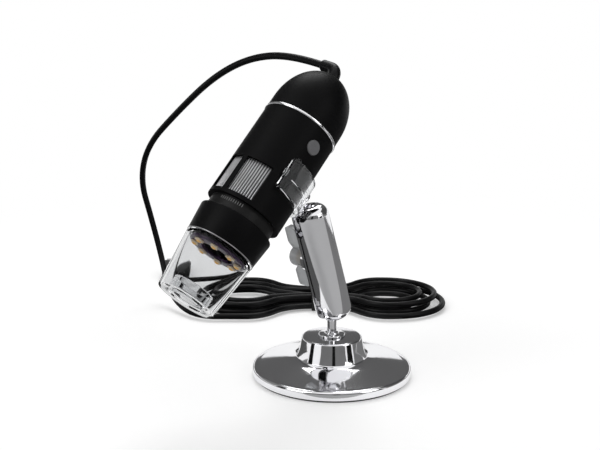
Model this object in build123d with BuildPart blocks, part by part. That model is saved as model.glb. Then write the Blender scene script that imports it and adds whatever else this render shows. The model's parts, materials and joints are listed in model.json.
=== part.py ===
import os
from math import acos, atan, cos, radians, sin, tan

from build123d import *

# USB digital microscope held by a clip on a ball-jointed arm with a round heavy base.
# Millimetres, +Z up. The origin is the centre of the base's underside.
# The arm, both ball studs and the clip's stem lie in one upright plane.

os.makedirs("parts", exist_ok=True)

# Driving dimensions of the stand
base_radius = 34.5
pad_height = 1.0
rim_height = 4.5
cone_foot_height = 7.8
cone_top_height = 17.2
cone_foot_radius = 15.4
cone_top_radius = 12.9
lower_ball_height = 32.4
ball_radius = 5.5
post_radius = 2.0
arm_length = 38.0
arm_radius = 7.8
ball_standoff = 12.5
plane_heading = 53.0
arm_lean = 17.0
stem_rise = 43.0
scope_twist = -3.0

# Driving dimensions of the microscope, measured along its axis from the trim ring
body_radius = 16.0
ring_overhang = 0.4
ring_radius = body_radius + ring_overhang
wall = 1.5
clip_wall = 1.6
clip_reach = ring_radius + clip_wall + ball_standoff
dome_height = 27.0
button_drop = 8.8
clip_drop = 24.5
clip_width = 13.6
window_top_drop = 25.8
window_bottom_drop = 41.4
upper_end_drop = 43.0
lower_start_drop = 47.8
body_end_drop = 59.6
nose_drop = 84.0
body_end_inset = 1.4
body_end_radius = body_radius - body_end_inset
nose_taper = 2.6
nose_radius = body_end_radius - nose_taper

# Driving dimensions of the cord
cord_radius = 1.6
corner_share = 0.45

# Fits
seat_gap = 0.15
sliding_gap = 0.25
overrun = 2.0
thin_gap = 0.1

# Directions of the stand's upright plane
up = Vector(0, 0, 1)
front = Vector(-sin(radians(plane_heading)), -cos(radians(plane_heading)), 0)
across = Vector(cos(radians(plane_heading)), -sin(radians(plane_heading)), 0)
arm_axis = front * sin(radians(arm_lean)) + up * cos(radians(arm_lean))
arm_side = front * cos(radians(arm_lean)) - up * sin(radians(arm_lean))
stem_axis = front * cos(radians(stem_rise)) + up * sin(radians(stem_rise))
rise_axis = up * cos(radians(stem_rise)) - front * sin(radians(stem_rise))
scope_axis = rise_axis * cos(radians(scope_twist)) + across * sin(radians(scope_twist))
clip_side = stem_axis * -1
scope_side = scope_axis.cross(clip_side)

# Places and planes of the stand and the microscope
lower_ball = up * lower_ball_height
upper_ball = lower_ball + arm_axis * arm_length
ring_centre = upper_ball + stem_axis * clip_reach + scope_axis * clip_drop
arm_middle = lower_ball + arm_axis * (arm_length / 2)
arm_line = Axis(lower_ball, arm_axis)
scope_line = Axis(ring_centre, scope_axis)
arm_profile = Plane(origin=lower_ball, x_dir=arm_side, z_dir=arm_side.cross(arm_axis))
scope_plane = Plane(origin=ring_centre, x_dir=clip_side, z_dir=scope_axis)
scope_profile = Plane(origin=ring_centre, x_dir=clip_side, z_dir=clip_side.cross(scope_axis))


def turned(plane, *points):
    """The face of the closed outline through points, each (radius, height), on a profile plane."""
    with BuildSketch(plane) as profile:
        with BuildLine():
            Polyline(*points, close=True)
        make_face()
    return profile.sketch


def sector(plane, start, end, reach):
    """A pie slice from one angle to another, in degrees, with straight sides and a far round edge."""
    middle = (start + end) / 2
    places = [(reach * cos(radians(a)), reach * sin(radians(a))) for a in (start, middle, end)]
    with BuildSketch(plane) as slice_face:
        with BuildLine():
            Line((0, 0), places[0])
            ThreePointArc(*places)
            Line(places[2], (0, 0))
        make_face()
    return slice_face.sketch


def radial_plane(angle, drop, radius):
    """A plane on the microscope's side, facing out from its axis."""
    outward = clip_side * cos(radians(angle)) + scope_side * sin(radians(angle))
    place = ring_centre - scope_axis * drop + outward * radius
    return Plane(origin=place, x_dir=scope_axis.cross(outward), z_dir=outward)


def finish(piece, name):
    """Names a finished piece and writes its STEP file."""
    piece.part.label = name
    export_step(piece.part, f"parts/{name}.step")


# Base: rubber pad, steel weight and bright pressed shell
shell_wall = 1.0
rim_width = 3.2
rim_line_radius = base_radius - rim_width
rim_round = 1.2
foot_round = 1.6
top_round = 0.9
pad_inset = 0.6
post_bore_radius = post_radius + seat_gap
nut_pocket_radius = 5.2
nut_pocket_height = 5.0

with BuildPart() as base_pad:
    with BuildSketch():
        Circle(base_radius - pad_inset)
    extrude(amount=pad_height)
    chamfer(base_pad.faces().sort_by(Axis.Z)[0].edges(), pad_inset / 2)
finish(base_pad, "base_pad")

with BuildPart() as base_shell:
    with BuildSketch(Plane.XZ):
        with BuildLine():
            Polyline(
                (base_radius, pad_height),
                (base_radius, rim_height),
                (rim_line_radius, rim_height),
                (cone_foot_radius, cone_foot_height),
                (cone_top_radius, cone_top_height),
                (post_bore_radius, cone_top_height),
                (post_bore_radius, cone_top_height - shell_wall),
                (cone_top_radius - shell_wall, cone_top_height - shell_wall),
                (cone_foot_radius - shell_wall, cone_foot_height - shell_wall),
                (rim_line_radius, rim_height - shell_wall),
                (base_radius - shell_wall, rim_height - shell_wall),
                (base_radius - shell_wall, pad_height),
                close=True,
            )
        make_face()
    revolve(axis=Axis.Z)
    rim_edge = base_shell.edges().filter_by(GeomType.CIRCLE).filter_by(
        lambda e: abs(e.radius - base_radius) < thin_gap and e.center().Z > pad_height + thin_gap
    )
    fillet(rim_edge, rim_round)
    foot_edge = base_shell.edges().filter_by(GeomType.CIRCLE).filter_by(
        lambda e: abs(e.radius - cone_foot_radius) < thin_gap
    )
    fillet(foot_edge, foot_round)
    top_edge = base_shell.edges().filter_by(GeomType.CIRCLE).filter_by(
        lambda e: abs(e.radius - cone_top_radius) < thin_gap
    )
    fillet(top_edge, top_round)
finish(base_shell, "base_shell")

weight_gap = 0.2
inner_drop = shell_wall + weight_gap
with BuildPart() as base_weight:
    with BuildSketch(Plane.XZ):
        with BuildLine():
            Polyline(
                (post_bore_radius, nut_pocket_height),
                (nut_pocket_radius, nut_pocket_height),
                (nut_pocket_radius, pad_height),
                (base_radius - inner_drop, pad_height),
                (base_radius - inner_drop, rim_height - inner_drop),
                (rim_line_radius, rim_height - inner_drop),
                (cone_foot_radius - inner_drop, cone_foot_height - inner_drop),
                (cone_top_radius - inner_drop, cone_top_height - inner_drop),
                (post_bore_radius, cone_top_height - inner_drop),
                close=True,
            )
        make_face()
    revolve(axis=Axis.Z)
finish(base_weight, "base_weight")

# Ball post: ball, post with a round collar on the cone, pin through the base
collar_radius = 5.75
collar_height = 1.1
collar_round = 0.5
pin_end_height = 1.8
with BuildPart() as ball_post:
    with BuildSketch(Plane.XY.offset(pin_end_height)):
        Circle(post_radius)
    extrude(amount=lower_ball_height - pin_end_height)
    with BuildSketch(Plane.XY.offset(cone_top_height)):
        Circle(collar_radius)
    extrude(amount=collar_height)
    collar_edge = ball_post.edges().filter_by(GeomType.CIRCLE).filter_by(
        lambda e: abs(e.radius - collar_radius) < thin_gap
    )
    fillet(collar_edge.sort_by(Axis.Z)[-1], collar_round)
    with Locations(lower_ball):
        Sphere(ball_radius)
finish(ball_post, "ball_post")

nut_height = 2.6
nut_radius = 4.0
with BuildPart() as post_nut:
    with BuildSketch(Plane.XY.offset(nut_pocket_height - nut_height - thin_gap)):
        RegularPolygon(radius=nut_radius, side_count=6)
        Circle(post_radius, mode=Mode.SUBTRACT)
    extrude(amount=nut_height)
finish(post_nut, "post_nut")

# Arm: two half shells over both balls, split along the stand's plane
split_gap = 1.0
end_reach = 7.0
end_round = 4.2
cavity_radius = 5.2
cavity_margin = 8.2
notch_width = 2 * post_radius + 2 * sliding_gap + thin_gap
notch_reach = 14.0
notch_back_angle = -14.0
notch_side_angle = 104.0
screw_radius = 1.9
screw_head_radius = 3.5
screw_head_height = 1.4
screw_head_place = 2.2
boss_radius = 5.4
boss_reach = 8.4

screw_plane = Plane(origin=arm_middle, x_dir=arm_axis, z_dir=across)
knob_plane = Plane(origin=arm_middle, x_dir=arm_axis, z_dir=across * -1)
upper_notch_plane = Plane(origin=upper_ball, x_dir=arm_axis, z_dir=arm_axis.cross(arm_side))
lower_notch_plane = Plane(
    origin=lower_ball, x_dir=arm_axis * -1, z_dir=(arm_axis * -1).cross(arm_side)
)

for name, side in (("arm_shell_front", 1), ("arm_shell_rear", -1)):
    with BuildPart() as arm_shell:
        with BuildSketch(arm_profile):
            with Locations((arm_radius / 2, arm_length / 2)):
                Rectangle(arm_radius, arm_length + 2 * end_reach)
        revolve(axis=arm_line)
        fillet(arm_shell.edges().filter_by(GeomType.CIRCLE), end_round)
        if side < 0:
            with BuildSketch(knob_plane.offset(cavity_radius)):
                Circle(boss_radius)
            extrude(amount=boss_reach - cavity_radius)
        with Locations(lower_ball, upper_ball):
            Sphere(ball_radius + seat_gap, mode=Mode.SUBTRACT)
        with BuildSketch(arm_profile):
            with Locations((cavity_radius / 2, arm_length / 2)):
                Rectangle(cavity_radius, arm_length - 2 * cavity_margin)
        revolve(axis=arm_line, mode=Mode.SUBTRACT)
        for notch_plane in (upper_notch_plane, lower_notch_plane):
            pie = sector(notch_plane, notch_back_angle, notch_side_angle, notch_reach)
            extrude(pie, amount=notch_width / 2, both=True, mode=Mode.SUBTRACT)
            with BuildSketch(notch_plane):
                for angle in (notch_back_angle, notch_side_angle):
                    with Locations(Location((0, 0), angle)):
                        with Locations((notch_reach / 2, 0)):
                            Rectangle(notch_reach, notch_width)
            extrude(amount=notch_width / 2, both=True, mode=Mode.SUBTRACT)
        if side < 0:
            with BuildSketch(knob_plane):
                Circle(screw_radius + seat_gap)
            extrude(amount=boss_reach + overrun, mode=Mode.SUBTRACT)
        if side > 0:
            split(bisect_by=screw_plane.offset(split_gap / 2), keep=Keep.TOP)
        else:
            split(bisect_by=knob_plane.offset(split_gap / 2), keep=Keep.TOP)
    finish(arm_shell, name)

# Clamp screw, held by its head inside the front shell, its wing knob and the knob's thread insert
knob_start = boss_reach + sliding_gap
hub_radius = 4.6
hub_height = 8.6
wing_span = 28.0
wing_thickness = 3.2
wing_rise = 2.2
insert_radius = 3.1
insert_height = 5.0
screw_end = knob_start + insert_height + 1.5 * sliding_gap

with BuildPart() as clamp_screw:
    with BuildSketch(screw_plane.offset(screw_head_place)):
        Circle(screw_head_radius)
    extrude(amount=screw_head_height)
    with BuildSketch(screw_plane.offset(cavity_radius - seat_gap)):
        Circle(screw_radius)
    extrude(amount=-(cavity_radius - seat_gap) - screw_end)
finish(clamp_screw, "clamp_screw")

wing_plane = Plane(origin=arm_middle, x_dir=arm_axis, z_dir=arm_axis.cross(across * -1))
with BuildPart() as wing_knob:
    with BuildSketch(knob_plane.offset(knob_start)):
        Circle(hub_radius)
    extrude(amount=hub_height)
    with BuildSketch(wing_plane):
        with BuildLine():
            Polyline(
                (-hub_radius / 2, knob_start + wing_rise),
                (-wing_span / 2 + wing_thickness, knob_start + wing_rise),
                (-wing_span / 2, knob_start + 2 * wing_rise),
                (-wing_span / 2, knob_start + hub_height + wing_rise),
                (-hub_radius - wing_rise, knob_start + hub_height + wing_rise),
                (-hub_radius / 2, knob_start + hub_height - wing_rise),
                close=True,
            )
        make_face()
        fillet(vertices(), wing_rise / 2)
        mirror(about=Plane.YZ)
    extrude(amount=wing_thickness / 2, both=True)
    with BuildSketch(knob_plane.offset(knob_start)):
        Circle(insert_radius)
    extrude(amount=insert_height, mode=Mode.SUBTRACT)
    with BuildSketch(knob_plane.offset(knob_start)):
        Circle(screw_radius + 2 * seat_gap)
    extrude(amount=screw_end - knob_start + sliding_gap, mode=Mode.SUBTRACT)
finish(wing_knob, "wing_knob")

with BuildPart() as knob_insert:
    with BuildSketch(knob_plane.offset(knob_start)):
        Circle(insert_radius)
        Circle(screw_radius + thin_gap, mode=Mode.SUBTRACT)
    extrude(amount=insert_height)
finish(knob_insert, "knob_insert")

# Clip: clear open ring with a rib, thick lips and a stem that turns on the ball stud
clip_bore_radius = ring_radius
clip_outer_radius = clip_bore_radius + clip_wall
clip_half_angle = 102.0
lip_width = 3.2
lip_height = 2.6
lip_round = 1.2
rib_width = 3.0
rib_height = 0.8
stem_root_radius = 4.4
stem_tip_radius = 3.2
arm_corner_reach = end_round + ((arm_radius - end_round) ** 2 + (end_reach - end_round) ** 2) ** 0.5
stem_end = clip_reach - arm_corner_reach - 2 * sliding_gap
stud_radius = post_radius
stud_end = clip_outer_radius + 2 * sliding_gap
clip_middle = scope_plane.offset(-clip_drop)
stem_foot = Plane(
    origin=upper_ball + stem_axis * clip_reach, x_dir=scope_axis, z_dir=clip_side
)

with BuildPart() as clip:
    with BuildSketch(clip_middle):
        Circle(clip_outer_radius)
        Circle(clip_bore_radius, mode=Mode.SUBTRACT)
    extrude(amount=clip_width / 2, both=True)
    with BuildSketch(clip_middle):
        Circle(clip_outer_radius + rib_height)
        Circle(clip_outer_radius - rib_height, mode=Mode.SUBTRACT)
    extrude(amount=rib_width / 2, both=True)
    gap_face = sector(clip_middle, clip_half_angle, 360 - clip_half_angle, 2 * clip_outer_radius)
    extrude(gap_face, amount=clip_width, both=True, mode=Mode.SUBTRACT)
    for angle in (clip_half_angle, -clip_half_angle):
        with BuildSketch(radial_plane(angle, clip_drop, clip_bore_radius + thin_gap)):
            RectangleRounded(lip_width, clip_width, lip_round)
        extrude(amount=lip_height)
    with BuildSketch(stem_foot.offset(clip_bore_radius + clip_wall / 2)):
        Circle(stem_root_radius)
    with BuildSketch(stem_foot.offset(stem_end)):
        Circle(stem_tip_radius)
    loft()
    with BuildSketch(stem_foot.offset(stud_end - sliding_gap)):
        Circle(stud_radius + seat_gap)
    extrude(amount=stem_end, mode=Mode.SUBTRACT)
finish(clip, "clip")

with BuildPart() as clip_ball:
    with Locations(upper_ball):
        Sphere(ball_radius)
    with BuildSketch(stem_foot.offset(stud_end)):
        Circle(stud_radius)
    extrude(amount=clip_reach - stud_end)
finish(clip_ball, "clip_ball")

# Microscope casing: rear dome, trim ring, upper and lower housing
dome_start = 6.0
ring_top = 0.6
ring_bottom = -0.5
relief_radius = 2.5
dome_hole_radius = relief_radius + thin_gap
boot_flange_radius = 3.9
boot_flange_height = 1.0
shoulder_angle = 52.0


def dome_arcs(depth):
    """Two tangent arcs of the dome's outline at a depth under its surface, from side to hole."""
    half_width = body_radius - depth
    rise = dome_height - dome_start - depth
    turn = radians(shoulder_angle)
    shoulder = (half_width * cos(turn), dome_start + rise * sin(turn))
    top_height = dome_start + rise * sin(acos(dome_hole_radius / half_width))
    side_arc = TangentArc((half_width, dome_start), shoulder, tangent=(0, 1))
    return TangentArc(shoulder, (dome_hole_radius, top_height), tangent=side_arc % 1)


with BuildPart() as rear_cap:
    with BuildSketch(scope_profile):
        with BuildLine():
            Line((body_radius - wall, ring_top), (body_radius, ring_top))
            Line((body_radius, ring_top), (body_radius, dome_start))
            outside, inside = dome_arcs(0), dome_arcs(wall)
            Line(outside @ 1, inside @ 1)
            Line((body_radius - wall, dome_start), (body_radius - wall, ring_top))
        make_face()
    revolve(axis=scope_line)
finish(rear_cap, "rear_cap")

with BuildPart() as trim_ring:
    ring_face = turned(
        scope_profile,
        (body_radius - wall, ring_bottom),
        (ring_radius, ring_bottom),
        (ring_radius, ring_top),
        (body_radius - wall, ring_top),
    )
    revolve(ring_face, axis=scope_line)
    ring_edges = trim_ring.edges().filter_by(GeomType.CIRCLE).filter_by(
        lambda e: abs(e.radius - ring_radius) < thin_gap
    )
    fillet(ring_edges, (ring_top - ring_bottom) / 3)
finish(trim_ring, "trim_ring")

drum_depth = 1.0
drum_radius = body_radius - drum_depth
drum_wall = body_radius - drum_radius - sliding_gap
drum_room_top = -window_top_drop + 2 * sliding_gap
drum_room_bottom = -window_bottom_drop - sliding_gap
tube_depth = 4.4
tube_radius = body_radius - tube_depth
tube_wall = 2.5
tube_bore_radius = tube_radius - tube_wall
strut_angle = 192.0
strut_width_angle = 8.0
window_angle = 42.0
button_radius = 3.0
button_angle = -90.0
edge_round = 0.5

with BuildPart() as upper_housing:
    shell_face = turned(
        scope_profile,
        (body_radius - wall, ring_bottom),
        (body_radius, ring_bottom),
        (body_radius, -upper_end_drop),
        (tube_radius + sliding_gap, -upper_end_drop),
        (tube_radius + sliding_gap, drum_room_bottom),
        (body_radius - drum_wall, drum_room_bottom),
        (body_radius - drum_wall, drum_room_top),
        (body_radius - wall, drum_room_top + wall / 2),
    )
    revolve(shell_face, axis=scope_line)
    window_plane = scope_plane.offset(-window_bottom_drop)
    half_strut = strut_width_angle / 2
    for start in (strut_angle + half_strut, strut_angle - half_strut - window_angle):
        slice_face = sector(window_plane, start, start + window_angle, 2 * body_radius)
        extrude(slice_face, amount=window_bottom_drop - window_top_drop, mode=Mode.SUBTRACT)
    with BuildSketch(radial_plane(button_angle, button_drop, body_radius / 2)):
        Circle(button_radius + seat_gap)
    extrude(amount=body_radius, mode=Mode.SUBTRACT)
finish(upper_housing, "upper_housing")

lower_inset = 0.2
lower_top_radius = body_radius - lower_inset
lower_wall = 1.25
lower_bore_radius = body_end_radius - lower_wall
lower_chamfer = 0.6
with BuildPart() as lower_housing:
    lower_face = turned(
        scope_profile,
        (lower_bore_radius, -lower_start_drop),
        (lower_top_radius, -lower_start_drop),
        (body_end_radius, -body_end_drop),
        (lower_bore_radius, -body_end_drop),
    )
    revolve(lower_face, axis=scope_line)
    outer_edge = lower_housing.edges().filter_by(GeomType.CIRCLE).filter_by(
        lambda e: abs(e.radius - lower_top_radius) < thin_gap
    )
    chamfer(outer_edge, lower_chamfer)
finish(lower_housing, "lower_housing")

# Inner chassis tube, which carries the drum, the lens barrel and both boards
board_thickness = 1.2
sensor_board_drop = 13.2
chassis_top_drop = sensor_board_drop + board_thickness
chassis_flange = 2.6
chassis_flange_radius = body_radius - wall - seat_gap
waist_depth = 2.0
waist_radius = body_radius - waist_depth
waist_spigot_radius = lower_bore_radius - sliding_gap
waist_spigot_depth = 3.4
chassis_overhang = 1.2
chassis_end_drop = body_end_drop + chassis_overhang
pin_radius = 1.0
pin_drop = 33.6
barrel_travel = 5.0
screw_inset = 1.45
screw_circle = chassis_flange_radius - screw_inset
small_screw_radius = 0.8
small_head_radius = 1.3
small_head_height = 0.9
small_screw_length = 4.2
screw_places = [Location((0, 0), 60 + 120 * i) * Location((screw_circle, 0)) for i in range(3)]

with BuildPart() as chassis:
    tube_face = turned(
        scope_profile,
        (tube_bore_radius, -chassis_top_drop),
        (chassis_flange_radius, -chassis_top_drop),
        (chassis_flange_radius, -chassis_top_drop - chassis_flange),
        (tube_radius, -chassis_top_drop - chassis_flange),
        (tube_radius, -upper_end_drop),
        (waist_radius, -upper_end_drop),
        (waist_radius, -lower_start_drop),
        (waist_spigot_radius, -lower_start_drop),
        (waist_spigot_radius, -lower_start_drop - waist_spigot_depth),
        (tube_radius, -lower_start_drop - waist_spigot_depth),
        (tube_radius, -chassis_end_drop),
        (tube_bore_radius, -chassis_end_drop),
    )
    revolve(tube_face, axis=scope_line)
    with BuildSketch(radial_plane(0, pin_drop, tube_radius)):
        SlotOverall(
            2 * barrel_travel + 2 * pin_radius + 4 * sliding_gap,
            2 * pin_radius + 2 * seat_gap,
            rotation=90,
        )
    extrude(amount=tube_radius - tube_bore_radius + overrun, both=True, mode=Mode.SUBTRACT)
    with BuildSketch(scope_plane.offset(-chassis_top_drop)):
        with Locations(*screw_places):
            Circle(small_screw_radius + thin_gap)
    extrude(amount=-small_screw_length, mode=Mode.SUBTRACT)
finish(chassis, "chassis")

# Focus drum with lengthwise ribs, turning on the chassis
drum_gap = 0.2
drum_top = -window_top_drop + drum_gap
drum_bottom = -window_bottom_drop + drum_gap
drum_bore_radius = tube_radius + sliding_gap
drum_recess_wall = 1.15
drum_rim = 1.4
rib_count = 56
drum_rib_radius = 0.45
drum_core_radius = drum_radius - drum_rib_radius
drum_recess_radius = drum_core_radius - drum_recess_wall

with BuildPart() as focus_drum:
    drum_face = turned(
        scope_profile,
        (drum_bore_radius, drum_top),
        (drum_core_radius, drum_top),
        (drum_core_radius, drum_bottom),
        (drum_bore_radius, drum_bottom),
        (drum_bore_radius, drum_bottom + drum_rim),
        (drum_recess_radius, drum_bottom + drum_rim),
        (drum_recess_radius, drum_top - drum_rim),
        (drum_bore_radius, drum_top - drum_rim),
    )
    revolve(drum_face, axis=scope_line)
    with BuildSketch(scope_plane.offset(drum_bottom)):
        with PolarLocations(drum_core_radius, rib_count):
            Circle(drum_rib_radius)
        Circle(drum_core_radius - drum_rib_radius / 2, mode=Mode.SUBTRACT)
    extrude(amount=drum_top - drum_bottom)
finish(focus_drum, "focus_drum")

# Lens barrel with its lenses and the pin that the drum drives
barrel_radius = tube_bore_radius - seat_gap
barrel_wall = 1.35
barrel_bore_radius = barrel_radius - barrel_wall
barrel_top_drop = 31.4
barrel_end_drop = 50.0
barrel_lip = 0.9
front_lens_thickness = 3.4
rear_lens_thickness = 2.8
lens_sag = 1.0

with BuildPart() as lens_barrel:
    barrel_face = turned(
        scope_profile,
        (barrel_bore_radius, -barrel_top_drop),
        (barrel_radius, -barrel_top_drop),
        (barrel_radius, -barrel_end_drop),
        (barrel_bore_radius - barrel_lip, -barrel_end_drop),
        (barrel_bore_radius - barrel_lip, -barrel_end_drop + barrel_lip),
        (barrel_bore_radius, -barrel_end_drop + barrel_lip),
    )
    revolve(barrel_face, axis=scope_line)
    with BuildSketch(radial_plane(0, pin_drop, 0)):
        Circle(pin_radius)
    extrude(amount=barrel_radius + overrun, mode=Mode.SUBTRACT)
finish(lens_barrel, "lens_barrel")

with BuildPart() as drive_pin:
    with BuildSketch(radial_plane(0, pin_drop, barrel_bore_radius)):
        Circle(pin_radius)
    extrude(amount=drum_recess_radius - sliding_gap - barrel_bore_radius)
finish(drive_pin, "drive_pin")

lens_radius = barrel_bore_radius - thin_gap
lens_curve = (lens_radius**2 + lens_sag**2) / (2 * lens_sag)
middle_sag = lens_curve - (lens_curve**2 - (lens_radius / 2) ** 2) ** 0.5
for name, drop, thickness in (
    ("front_lens", barrel_end_drop - barrel_lip - front_lens_thickness, front_lens_thickness),
    ("rear_lens", barrel_top_drop + 2 * barrel_lip + pin_radius * 3, rear_lens_thickness),
):
    with BuildPart() as lens:
        with BuildSketch(scope_profile):
            with BuildLine():
                Line((0, -drop), (0, -drop - thickness))
                ThreePointArc(
                    (0, -drop - thickness),
                    (lens_radius / 2, -drop - thickness + middle_sag),
                    (lens_radius, -drop - thickness + lens_sag),
                )
                Line((lens_radius, -drop - thickness + lens_sag), (lens_radius, -drop - lens_sag))
                ThreePointArc(
                    (lens_radius, -drop - lens_sag),
                    (lens_radius / 2, -drop - middle_sag),
                    (0, -drop),
                )
            make_face()
        revolve(axis=scope_line)
    finish(lens, name)

# Places of the snap button, its switch and the switch's riser board
button_proud = 0.5
button_top = body_radius + button_proud
button_travel = 0.5
flange_radius = 3.6
flange_drop = 0.65
flange_top = body_radius - wall - flange_drop
flange_height = 1.0
switch_size = 6.0
switch_top = flange_top - flange_height - button_travel - thin_gap / 2
switch_height = 3.6
riser_width = 10.0
riser_top_drop = 3.4
riser_radius = switch_top - switch_height - board_thickness

# Sensor board on the chassis, its sensor, the upright main board and their screws
sensor_size = 8.0
sensor_height = 1.3
main_board_width = 2 * (riser_radius - 2 * sliding_gap)
main_board_top = 12.0
main_board_offset = 3.4
chip_size = 7.0
chip_height = 1.0
chip_height_place = 3.0

with BuildPart() as sensor_board:
    with BuildSketch(scope_plane.offset(-chassis_top_drop)):
        Circle(chassis_flange_radius - sliding_gap)
        with Locations(*screw_places):
            Circle(small_screw_radius + thin_gap, mode=Mode.SUBTRACT)
    extrude(amount=board_thickness)
finish(sensor_board, "sensor_board")

with BuildPart() as image_sensor:
    with BuildSketch(scope_plane.offset(-chassis_top_drop)):
        Rectangle(sensor_size, sensor_size)
    extrude(amount=-sensor_height)
finish(image_sensor, "image_sensor")

with BuildPart() as main_board:
    with BuildSketch(scope_plane.offset(-sensor_board_drop)):
        with Locations((main_board_offset, 0)):
            Rectangle(board_thickness, main_board_width)
    extrude(amount=sensor_board_drop + main_board_top)
finish(main_board, "main_board")

chip_face = Plane(
    origin=ring_centre + clip_side * (main_board_offset + board_thickness / 2),
    x_dir=scope_side,
    z_dir=clip_side,
)
with BuildPart() as board_chips:
    with BuildSketch(chip_face):
        with Locations((0, chip_height_place), (0, -chip_height_place * 2)):
            Rectangle(chip_size, chip_size)
    extrude(amount=chip_height)
finish(board_chips, "board_chips")

with BuildPart() as chassis_screws:
    with BuildSketch(scope_plane.offset(-sensor_board_drop)):
        with Locations(*screw_places):
            Circle(small_head_radius)
    extrude(amount=small_head_height)
    with BuildSketch(scope_plane.offset(-sensor_board_drop)):
        with Locations(*screw_places):
            Circle(small_screw_radius)
    extrude(amount=-small_screw_length)
finish(chassis_screws, "chassis_screws")

# Snap button, its switch and the switch's riser board
with BuildPart() as snap_button:
    with BuildSketch(radial_plane(button_angle, button_drop, flange_top - flange_height)):
        Circle(flange_radius)
    extrude(amount=flange_height)
    with BuildSketch(radial_plane(button_angle, button_drop, flange_top)):
        Circle(button_radius)
    extrude(amount=button_top - flange_top)
    top_face = snap_button.faces().sort_by(
        Axis(ring_centre, scope_side * sin(radians(button_angle)))
    )[-1]
    fillet(top_face.edges(), edge_round)
finish(snap_button, "snap_button")

with BuildPart() as snap_switch:
    with BuildSketch(radial_plane(button_angle, button_drop, switch_top - switch_height)):
        Rectangle(switch_size, switch_size)
    extrude(amount=switch_height)
    with BuildSketch(radial_plane(button_angle, button_drop, switch_top - flange_height)):
        Circle(switch_size / 3)
    extrude(amount=flange_height)
finish(snap_switch, "snap_switch")

riser_drop = (riser_top_drop + sensor_board_drop) / 2
with BuildPart() as switch_board:
    with BuildSketch(radial_plane(button_angle, riser_drop, riser_radius)):
        Rectangle(riser_width, sensor_board_drop - riser_top_drop)
    extrude(amount=board_thickness)
finish(switch_board, "switch_board")

# Lighting: ring board on the chassis end and its lamps
led_board_overhang = 0.4
led_board_radius = tube_radius + led_board_overhang
led_board_width = 5.0
led_board_hole_radius = led_board_radius - led_board_width
led_inset = 2.4
led_circle = led_board_radius - led_inset
led_count = 8
led_size = 2.8
led_height = 0.8
led_dome_radius = 1.0
led_board_end_drop = chassis_end_drop + board_thickness

with BuildPart() as led_board:
    with BuildSketch(scope_plane.offset(-chassis_end_drop)):
        Circle(led_board_radius)
        Circle(led_board_hole_radius, mode=Mode.SUBTRACT)
    extrude(amount=-board_thickness)
finish(led_board, "led_board")

with BuildPart() as leds:
    with BuildSketch(scope_plane.offset(-led_board_end_drop)):
        with PolarLocations(led_circle, led_count):
            Rectangle(led_size, led_size)
    extrude(amount=-led_height)
    with BuildSketch(scope_plane.offset(-led_board_end_drop - led_height)):
        with PolarLocations(led_circle, led_count):
            Circle(led_dome_radius)
    extrude(amount=-led_dome_radius / 2, taper=30)
finish(leds, "leds")

# Clear nose cap, a push fit in the lower housing
cap_wall = 1.3
cap_start_drop = body_end_drop + thin_gap
spigot_radius = lower_bore_radius - seat_gap
spigot_wall = 0.9
spigot_depth = 4.0
mouth_inset = 3.6
mouth_radius = nose_radius - mouth_inset
mouth_wall = 1.2
mouth_depth = 6.5

with BuildPart() as nose_cap:
    cap_face = turned(
        scope_profile,
        (body_end_radius, -cap_start_drop),
        (nose_radius, -nose_drop),
        (mouth_radius - mouth_wall, -nose_drop),
        (mouth_radius - mouth_wall, -nose_drop + mouth_depth),
        (mouth_radius, -nose_drop + mouth_depth),
        (mouth_radius, -nose_drop + cap_wall),
        (nose_radius - cap_wall, -nose_drop + cap_wall),
        (body_end_radius - cap_wall, -cap_start_drop - cap_wall),
        (spigot_radius - spigot_wall, -cap_start_drop - cap_wall),
        (spigot_radius - spigot_wall, -cap_start_drop + spigot_depth),
        (spigot_radius, -cap_start_drop + spigot_depth),
        (spigot_radius, -cap_start_drop),
    )
    revolve(cap_face, axis=scope_line)
    nose_edge = nose_cap.edges().filter_by(GeomType.CIRCLE).filter_by(
        lambda e: abs(e.radius - nose_radius) < thin_gap
    )
    fillet(nose_edge, edge_round)
finish(nose_cap, "nose_cap")

# Cord boot: an elbow from the dome's top
boot_rise = 4.6
boot_run = 9.0
boot_bend_radius = 5.0
heading_shares = (-22.7, 24.5, 7.4)
first_heading = Vector(*heading_shares).normalized()
dome_top = ring_centre + scope_axis * dome_height
boot_corner = dome_top + scope_axis * boot_rise
boot_end = boot_corner + first_heading * boot_run
flange_turn = acos(boot_flange_radius / (body_radius - wall))
flange_seat = dome_start + (dome_height - dome_start - wall) * sin(flange_turn) - sliding_gap
boot_start = ring_centre + scope_axis * (flange_seat - boot_flange_height)

with BuildPart() as cord_boot:
    with BuildLine():
        boot_path = FilletPolyline(boot_start, boot_corner, boot_end, radius=boot_bend_radius)
    with BuildSketch(Plane(origin=boot_start, z_dir=scope_axis)):
        Circle(relief_radius)
    sweep(path=boot_path)
    with BuildSketch(Plane(origin=boot_start, z_dir=scope_axis)):
        Circle(boot_flange_radius)
    extrude(amount=boot_flange_height)
finish(cord_boot, "cord_boot")

# Cord: the route's points are in millimetres, from the boot to the hank
hank_left = 5.0
hank_behind = 105.0
hank_centre = Vector(-hank_left, hank_behind, 0)
hank_rise = 2.6
layer_step = 3.8
lobe_reach = 40.0
# Each loop: its radius in the lobes, its place beside the waist's middle, half its straight run
outer_loop = (30.0, 11.0, 4.0)
middle_loop = (22.0, 6.8, 8.0)
inner_loop = (14.0, 2.6, 12.0)
hank_lead = 4.0
first_run = 21.0

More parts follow.
